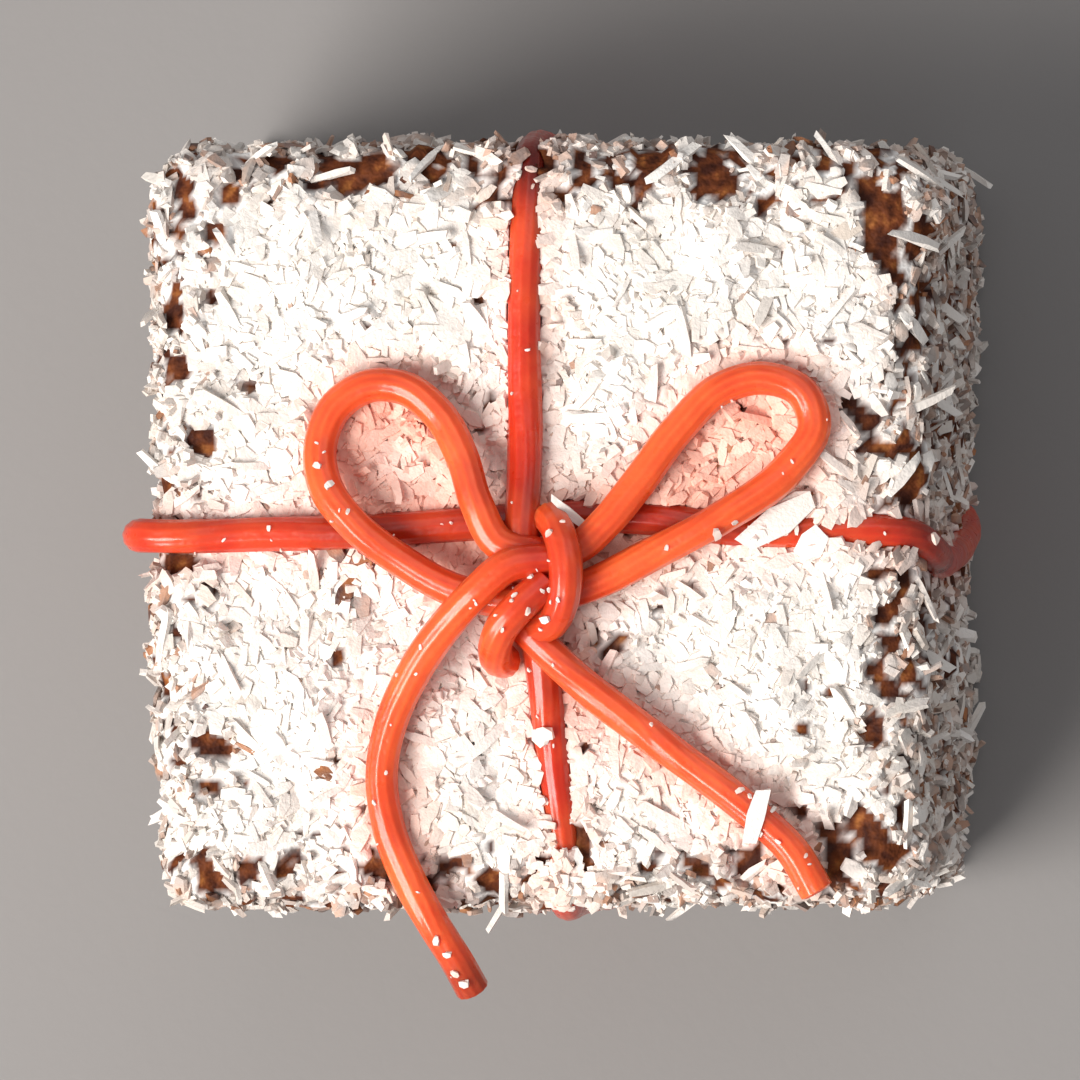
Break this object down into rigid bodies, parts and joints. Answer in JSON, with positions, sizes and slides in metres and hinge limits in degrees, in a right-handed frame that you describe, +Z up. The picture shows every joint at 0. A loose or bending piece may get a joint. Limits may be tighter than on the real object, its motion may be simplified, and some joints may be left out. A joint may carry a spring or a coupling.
{
  "type": "lamington cake",
  "caption": "Square lamington cake coated in chocolate and shredded coconut, tied both ways like a parcel with a red candy lace and a bow on top.",
  "frame": {"origin": "middle of the cake's flat base, on the surface it stands on", "axes": "+Z up, -Y towards the front, where the longer free end of the lace hangs over the edge, +X to the right as seen from the front"},
  "size_m": [0.0595, 0.0621, 0.0483],
  "materials": {
    "coconut_cake": "matte shredded coconut over chocolate",
    "candy_lace": "glossy soft candy"
  },
  "bodies": {
    "root": {"cake": "coconut_cake", "lace": "candy_lace"}
  },
  "joints": []
}
